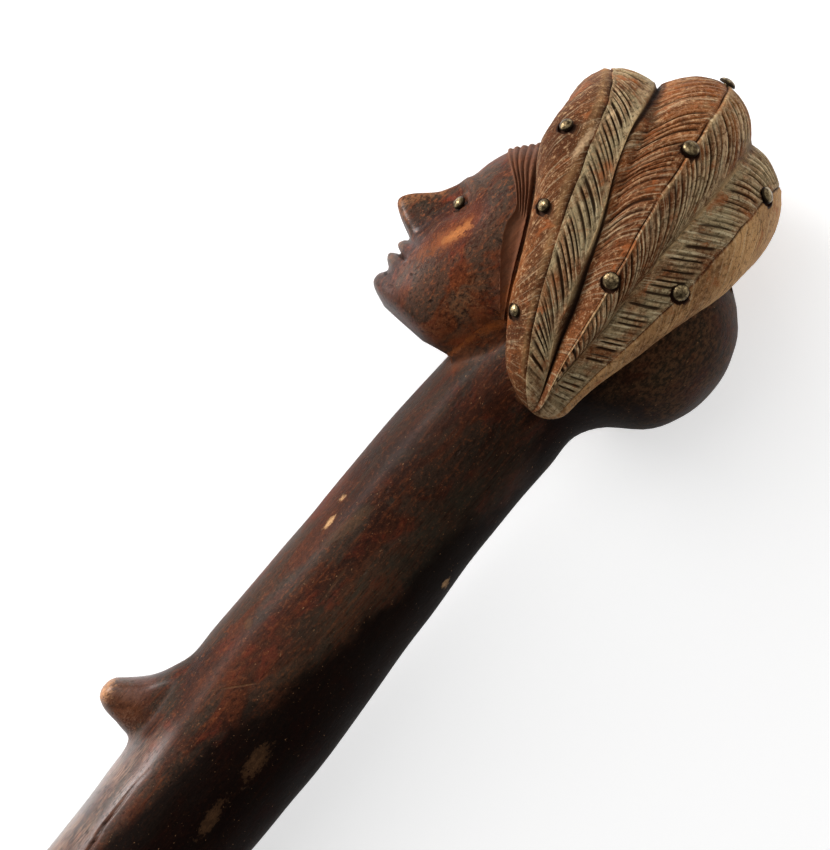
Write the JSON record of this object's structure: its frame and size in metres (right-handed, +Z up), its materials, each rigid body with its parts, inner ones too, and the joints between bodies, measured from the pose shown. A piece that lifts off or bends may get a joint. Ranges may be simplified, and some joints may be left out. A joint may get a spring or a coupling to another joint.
{
  "type": "carved wooden scepter",
  "caption": "Carved hardwood scepter with a calm head under a crested herringbone coiffure set with brass tacks, a grip peg and a rounded shaft, lying on its side.",
  "frame": {"origin": "under the middle of the lying scepter's bounding box, on the surface it lies on", "axes": "+X along the shaft toward the head, +Y toward the side the face looks to, +Z up, which is one side of the head"},
  "size_m": [0.4391, 0.0906, 0.069],
  "materials": {
    "carved_wood": "dark handled patina, semi-gloss, worn matte on the coiffure",
    "tack_brass": "tarnished, rubbed bright on the domes"
  },
  "bodies": {
    "root": {"scepter_wood": "carved_wood", "tack_front_crest_1_left": "tack_brass", "tack_front_crest_1_right": "tack_brass", "tack_front_crest_2_left": "tack_brass", "tack_front_crest_2_right": "tack_brass", "tack_front_crest_3_left": "tack_brass", "tack_front_crest_3_right": "tack_brass", "tack_middle_crest_1_left": "tack_brass", "tack_middle_crest_1_right": "tack_brass", "tack_middle_crest_2_left": "tack_brass", "tack_back_crest_1_left": "tack_brass", "tack_back_crest_1_right": "tack_brass", "tack_back_crest_2_left": "tack_brass", "tack_back_crest_2_right": "tack_brass", "tack_eye_left": "tack_brass", "tack_eye_right": "tack_brass", "tack_top": "tack_brass"}
  },
  "joints": []
}
